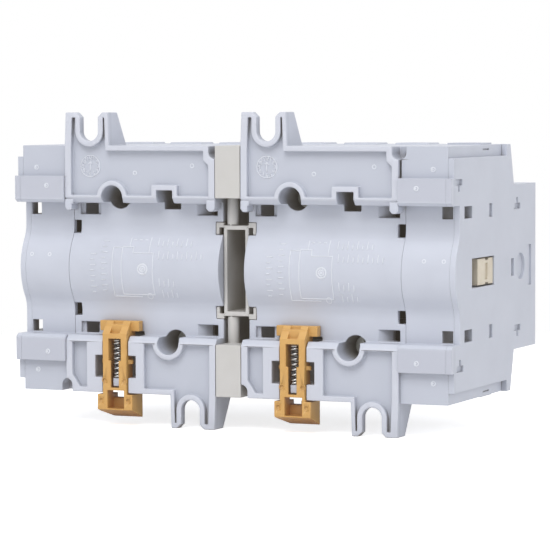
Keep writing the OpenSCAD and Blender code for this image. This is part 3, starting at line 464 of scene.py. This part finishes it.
POLE_PITCH = 15 * MM
for side, sign in (("a", 1), ("b", -1)):
    low, high = (np.array(corner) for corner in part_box(f"clip_spring_{side}"))
    foot = np.array([(low[0] + high[0]) / 2, (low[1] + high[1]) / 2, low[2]])
    spring = new_piece(f"clip_coil_{side}", [helix_mesh(
        foot, (0, 0, 1), high[2] - low[2], high[0] - low[0], 0.6 * MM, 8.5)], "spring_steel", "root")
    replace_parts(spring, f"clip_spring_{side}")
    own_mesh(spring)

    low, high = (np.array(corner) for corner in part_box(f"contact_springs_{side}"))
    outer = high[2] - low[2]
    coils = [helix_mesh((low[0] + outer / 2 + i * POLE_PITCH, high[1], (low[2] + high[2]) / 2), (0, -1, 0),
                        high[1] - low[1], outer, 0.5 * MM, 4) for i in range(4)]
    springs = new_piece(f"contact_coils_{side}", coils, "spring_steel", f"carrier_{side}_set")
    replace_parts(springs, f"contact_springs_{side}")

    low, high = (np.array(corner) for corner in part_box(f"snap_spring_{side}"))
    coil = helix_mesh(((low[0] + high[0]) / 2, high[1], (low[2] + high[2]) / 2), (0, -1, 0),
                      high[1] - low[1], high[0] - low[0], 0.9 * MM, 5.5)
    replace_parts(new_piece(f"snap_coil_{side}", [coil], "spring_steel", "root"), f"snap_spring_{side}")
print("coil springs: 2 for the clips, 8 for the contacts, 2 for the snap drives")

# %% [markdown]
# ## Raised marks
#
# Moulds leave raised lines: a date dial, a drilling pictogram, small rings where ejector pins
# pushed. Each line is a low rib. Its cross-section is half an ellipse, w wide and h high, so at
# a share s from -1 to 1 across the rib it rises h sqrt(1 - s^2) above the surface below it.

# %% Ribs on a surface
RIB_SHARES = (-1.0, -0.75, -0.3, 0.3, 0.75, 1.0)


def rib(path, width, height, surface, facing=1.0):
    """A closed rib along (x, z) points in mm on y = surface(x, z), rising towards +Y or, facing -1, -Y."""
    path = np.asarray(path, float)
    lengths = np.concatenate([[0.0], np.cumsum(np.linalg.norm(np.diff(path, axis=0), axis=1))])
    count = max(2, int(lengths[-1] / 0.25) + 1)
    even = np.unique(np.concatenate([np.linspace(0, lengths[-1], count), lengths]))
    line = np.column_stack([np.interp(even, lengths, path[:, k]) for k in (0, 1)])
    tangent = np.gradient(line, axis=0)
    tangent /= np.linalg.norm(tangent, axis=1)[:, None] + 1e-9
    normal = np.column_stack([-tangent[:, 1], tangent[:, 0]])
    points = []
    for at, sideways in zip(line, normal):
        for share in RIB_SHARES:
            x, z = at + sideways * share * width / 2
            points.append((x, surface(x, z) + facing * (height * math.sqrt(1 - share * share) - 0.02), z))
        points.append((at[0], surface(*at) - facing * 0.06, at[1]))
    row = len(RIB_SHARES) + 1
    faces = [(i * row + j, i * row + (j + 1) % row, (i + 1) * row + (j + 1) % row, (i + 1) * row + j)
             for i in range(len(line) - 1) for j in range(row)]
    faces += [tuple(range(row))[::-1], tuple((len(line) - 1) * row + j for j in range(row))]
    return np.array(points) * MM, faces


def ring_path(x, z, radius, start=0.0, end=360.0):
    """Points of a circle or an arc between two angles in degrees, x = x0 + r cos, z = z0 + r sin."""
    angle = np.radians(np.linspace(start, end, max(4, int(abs(end - start) / 12) + 1)))
    return np.column_stack([x + radius * np.cos(angle), z + radius * np.sin(angle)])


DIGIT_PATHS = {
    "0": [[(0, 0), (1, 0), (1, 2), (0, 2), (0, 0)]], "1": [[(0.2, 1.6), (0.6, 2), (0.6, 0)]],
    "2": [[(0, 2), (1, 2), (1, 1), (0, 1), (0, 0), (1, 0)]], "3": [[(0, 2), (1, 2), (1, 0), (0, 0)], [(0.2, 1), (1, 1)]],
    "4": [[(0, 2), (0, 1), (1, 1)], [(1, 2), (1, 0)]], "5": [[(1, 2), (0, 2), (0, 1), (1, 1), (1, 0), (0, 0)]],
    "6": [[(1, 2), (0, 2), (0, 0), (1, 0), (1, 1), (0, 1)]], "7": [[(0, 2), (1, 2), (0.4, 0)]],
    "8": [[(0, 0), (1, 0), (1, 2), (0, 2), (0, 0)], [(0, 1), (1, 1)]], "9": [[(1, 1), (0, 1), (0, 2), (1, 2), (1, 0), (0, 0)]],
    "I": [[(0.5, 0), (0.5, 2)]],
}


def number_paths(text, x, z, tall, mirrored=True, turn=0.0):
    """Paths of plain digits centred at (x, z); seen from the rear, +X points left, so they are mirrored."""
    paths, wide = [], tall / 2
    full = (len(text) - 1) * wide * 1.5 + wide
    for place, digit in enumerate(text):
        for stroke in DIGIT_PATHS[digit]:
            local = np.array([(place * wide * 1.5 + u * wide - full / 2, (v - 1) * tall / 2) for u, v in stroke])
            c, s = math.cos(turn), math.sin(turn)
            local = local @ np.array([[c, s], [-s, c]])
            paths.append(np.column_stack([x + (-local[:, 0] if mirrored else local[:, 0]), z + local[:, 1]]))
    return paths


# %% [markdown]
# The surfaces below the marks: the sunk panels are flat, and the bulge is a cylinder of radius r
# whose axis lies d deep, so at height z its skin is at y = sqrt(r^2 - z^2) - d.

# %% Date dials, pictograms and ejector marks
UNIT_X = 26.25
BULGE_RADIUS, BULGE_AXIS = 14.6, 16.7
CLIP_REAR = 0.4


def bulge(x, z):
    return math.sqrt(BULGE_RADIUS ** 2 - z * z) - BULGE_AXIS


def level(y):
    """A flat surface at one y."""
    return lambda x, z: y


def marks_of_unit(middle):
    """Ribs of one switch: date dial, drilling pictogram, scale ticks, gate and ejector marks."""
    parts = []
    panel = level(-1.6)
    dial_x, dial_z = middle + 15.35, 28.0
    parts.append(rib(ring_path(dial_x, dial_z, 2.9), 0.3, 0.2, panel))
    for month in range(12):
        a = math.radians(90 - 30 * (month + 1))
        for path in number_paths(str(month + 1), dial_x - 2.25 * math.cos(a), dial_z + 2.25 * math.sin(a), 0.8):
            parts.append(rib(path, 0.24, 0.2, panel))
    parts.append(rib([(dial_x, dial_z - 1.2), (dial_x, dial_z + 1.3)], 0.35, 0.22, panel))
    head = [(dial_x + 0.6, dial_z + 0.5), (dial_x, dial_z + 1.3), (dial_x - 0.6, dial_z + 0.5)]
    parts.append(rib(head, 0.3, 0.22, panel))

    def line(points, width=0.3, height=0.15):
        parts.append(rib([(middle + x, z) for x, z in points], width, height, bulge))

    line([(6.5, -6.9), (6.5, 6.1), (3.2, 6.1), (3.2, 4.5), (-2.9, 4.5), (-2.9, -6.9), (6.5, -6.9)])
    line([(6.5, 5.9), (9.3, 5.9), (9.3, -7.5), (0.9, -7.5)])
    line([(4.4, 6.1), (4.4, 8.5)])
    line([(-1.6, 4.5), (-1.6, 8.8)])
    for x in (3.6, 1.9, 0.2):
        line([(x, 8.0), (x - 0.9, 8.0)])
    parts.append(rib(ring_path(middle - 1.4, -7.3, 0.75), 0.3, 0.14, bulge))
    for x, z, count in ((-4.0, 6.3, 8), (-4.6, 2.9, 10), (-4.8, -4.5, 4), (-5.4, -7.6, 4)):
        for k in range(count):
            line([(x - 1.4 * k, z), (x - 1.4 * k, z + (1.5 if k % 2 else 2.2))])
    for x, z, count in ((16.0, 4.1, 8), (12.6, 7.6, 10)):
        for k in range(count):
            line([(x, z - 1.5 * k), (x - (1.1 if k % 2 else 1.7), z - 1.5 * k)])
    for radius, width in ((1.35, 0.5), (0.75, 0.45), (0.25, 0.4)):
        parts.append(rib(ring_path(middle + 0.1, 0.1, radius), width, 0.13, bulge))
    for x, z in ((1.9, 26.2), (-15.2, 28.2)):
        parts.append(rib(ring_path(middle + x, z, 0.5), 0.3, 0.08, panel))
    return parts


def marks_of_pole(sign):
    """Ejector rings of one fourth pole, on its bands, its sunk ends and its part of the bulge."""
    parts = []
    for x, z, y in ((58.0, 27.6, -1.2), (54.0, 22.7, 0.7), (54.0, -22.8, 0.7), (58.0, -28.0, -1.2)):
        parts.append(rib(ring_path(sign * x, z, 0.55), 0.34, 0.12, level(y)))
        parts.append(rib(ring_path(sign * x + 0.2, z, 0.16), 0.3, 0.14, level(y)))
    for x in (54.9, 60.4):
        parts.append(rib(ring_path(sign * x, 3.7, 0.45), 0.3, 0.04, bulge))
    return parts


def marks_of_clip(clip_x):
    """Ejector rings on the rear face of one rail clip, two on its arms and two on its foot."""
    return [rib(ring_path(clip_x + x, z, 0.72), 0.24, 0.1, level(CLIP_REAR))
            for x, z in ((3, -30.2), (-3, -30.2), (4.05, -35.6), (-4.05, -35.6))]


for side, sign in (("a", 1), ("b", -1)):
    new_piece(f"unit_marks_{side}", marks_of_unit(sign * UNIT_X), "housing", "root", raised_finish)
    new_piece(f"pole_marks_{side}", marks_of_pole(sign), "housing", "root", raised_finish)
    clip_low, clip_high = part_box(f"rail_clip_{side}")
    clip_middle = (clip_low[0] + clip_high[0]) / 2 / MM
    new_piece(f"clip_marks_{side}", marks_of_clip(clip_middle), "clip", nodes[f"rail_clip_{side}"]["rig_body"])

# %% [markdown]
# The front carries plain marks only: I, 0 and II around the selector, and the terminal numbers,
# odd above and even below, on the slanted faces beside the screw holes.

# %% Front marks
COVER_FRONT = -75.7


def slanted(x, z):
    """Front face over the terminals: 46 mm deep at |z| = 33.6, 49 mm deep at |z| = 22.6."""
    return -(46 + 3 * (33.6 - abs(z)) / 11)


front_parts = []
for text, x, z in (("I", 21.0, 0.0), ("0", 0.0, 17.0), ("II", -21.0, 0.0)):
    tall = 1.4 if text == "0" else 4.0
    front_parts += [rib(path, 0.5, 0.14, level(COVER_FRONT), -1.0) for path in number_paths(text, x, z, tall, False)]
new_piece("position_marks", front_parts, "gearbox", "root", raised_finish)
for side, sign in (("a", 1), ("b", -1)):
    number_parts = []
    places = sorted(sign * UNIT_X + step for step in (-15, 0, 15, sign * 30))
    for place, x in enumerate(places):
        for text, z in ((str(2 * place + 1), 28.0), (str(2 * place + 2), -28.0)):
            spot = x + 5.4 if place < 3 or sign < 0 else x - 5.4
            number_parts += [rib(path, 0.3, 0.12, slanted, -1.0) for path in number_paths(text, spot, z, 2.0, False)]
    new_piece(f"terminal_numbers_{side}", number_parts, "housing", "root", raised_finish)
print("raised marks: dials, pictograms, ejector rings, positions and terminal numbers")

# %% [markdown]
# ## Floor and light
#
# A plain pale floor that fades into a white surround, as in a catalogue picture: the further
# from the switch, the more of it is plain white, so no horizon shows. The world lights evenly
# from all sides at a plain level, and two large soft lamps add a gentle direction: one high
# above the camera and a weaker one on its right.

# %% Floor
FLOOR_HALF = 6.0
floor_z = cad_low[2]
floor_mesh = bpy.data.meshes.new("floor")
floor_mesh.from_pydata(
    [(-FLOOR_HALF, -FLOOR_HALF, floor_z), (FLOOR_HALF, -FLOOR_HALF, floor_z),
     (FLOOR_HALF, FLOOR_HALF, floor_z), (-FLOOR_HALF, FLOOR_HALF, floor_z)], [], [(0, 1, 2, 3)])
floor = bpy.data.objects.new("floor", floor_mesh)
bpy.context.scene.collection.objects.link(floor)
floor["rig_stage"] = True

floor_finish = bpy.data.materials.new("floor_white")
floor_finish.use_nodes = True
tree = floor_finish.node_tree
paint = tree.nodes["Principled BSDF"]
paint.inputs["Base Color"].default_value = (0.9, 0.9, 0.9, 1.0)
paint.inputs["Roughness"].default_value = 0.9
paint.inputs["Specular IOR Level"].default_value = 0.0
glow = tree.nodes.new("ShaderNodeEmission")
glow.inputs["Strength"].default_value = 0.7
together = tree.nodes.new("ShaderNodeAddShader")
tree.links.new(paint.outputs[0], together.inputs[0])
tree.links.new(glow.outputs[0], together.inputs[1])
far_white = tree.nodes.new("ShaderNodeEmission")
distance = tree.nodes.new("ShaderNodeVectorMath")
distance.operation = "LENGTH"
tree.links.new(tree.nodes.new("ShaderNodeTexCoord").outputs["Object"], distance.inputs[0])
far_share = ramp_of(tree, distance.outputs["Value"], 0.0, 1.0, 0.1, 0.35)
fading = tree.nodes.new("ShaderNodeMixShader")
tree.links.new(far_share, fading.inputs[0])
tree.links.new(together.outputs[0], fading.inputs[1])
tree.links.new(far_white.outputs[0], fading.inputs[2])
seen = tree.nodes.new("ShaderNodeLightPath")
view = tree.nodes.new("ShaderNodeMixShader")
tree.links.new(seen.outputs["Is Camera Ray"], view.inputs[0])
tree.links.new(paint.outputs[0], view.inputs[1])
tree.links.new(fading.outputs[0], view.inputs[2])
tree.links.new(view.outputs[0], tree.nodes["Material Output"].inputs["Surface"])
floor_mesh.materials.append(floor_finish)

# %% World
world = bpy.data.worlds.new("surround")
world.use_nodes = True
bpy.context.scene.world = world
tree = world.node_tree
tree.nodes.clear()
ambient = tree.nodes.new("ShaderNodeBackground")
ambient.inputs["Color"].default_value = (1.0, 1.0, 1.0, 1.0)
ambient.inputs["Strength"].default_value = 0.6
white = tree.nodes.new("ShaderNodeBackground")
white.inputs["Color"].default_value = (1.0, 1.0, 1.0, 1.0)
white.inputs["Strength"].default_value = 1.0
path = tree.nodes.new("ShaderNodeLightPath")
either = tree.nodes.new("ShaderNodeMath")
either.operation = "MAXIMUM"
choose = tree.nodes.new("ShaderNodeMixShader")
tree.links.new(path.outputs["Is Camera Ray"], either.inputs[0])
tree.links.new(path.outputs["Is Glossy Ray"], either.inputs[1])
tree.links.new(either.outputs[0], choose.inputs[0])
tree.links.new(ambient.outputs[0], choose.inputs[1])
tree.links.new(white.outputs[0], choose.inputs[2])
tree.links.new(choose.outputs[0], tree.nodes.new("ShaderNodeOutputWorld").inputs["Surface"])


# %% Lamps
def soft_lamp(name, side, height, forwards, size, watts):
    """A square area lamp placed from the camera's side: right, up and towards the camera, aimed at the switch."""
    data = bpy.data.lights.new(name, "AREA")
    data.size = size
    data.energy = watts
    lamp = bpy.data.objects.new(name, data)
    at = Vector(level_right * side + np.array([0.0, 0.0, height]) + towards_camera * forwards)
    lamp.matrix_world = Matrix.Translation(at) @ at.to_track_quat("Z", "Y").to_matrix().to_4x4()
    bpy.context.scene.collection.objects.link(lamp)
    return lamp


soft_lamp("key_lamp", -0.3, 1.15, 0.9, 0.9, 12.0)
soft_lamp("fill_lamp", 1.1, 0.4, 0.5, 0.9, 2.5)

# %% Sizes and finish
low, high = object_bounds()
print("visual box in mm:", [round(v / MM, 1) for v in (*low, *high)])
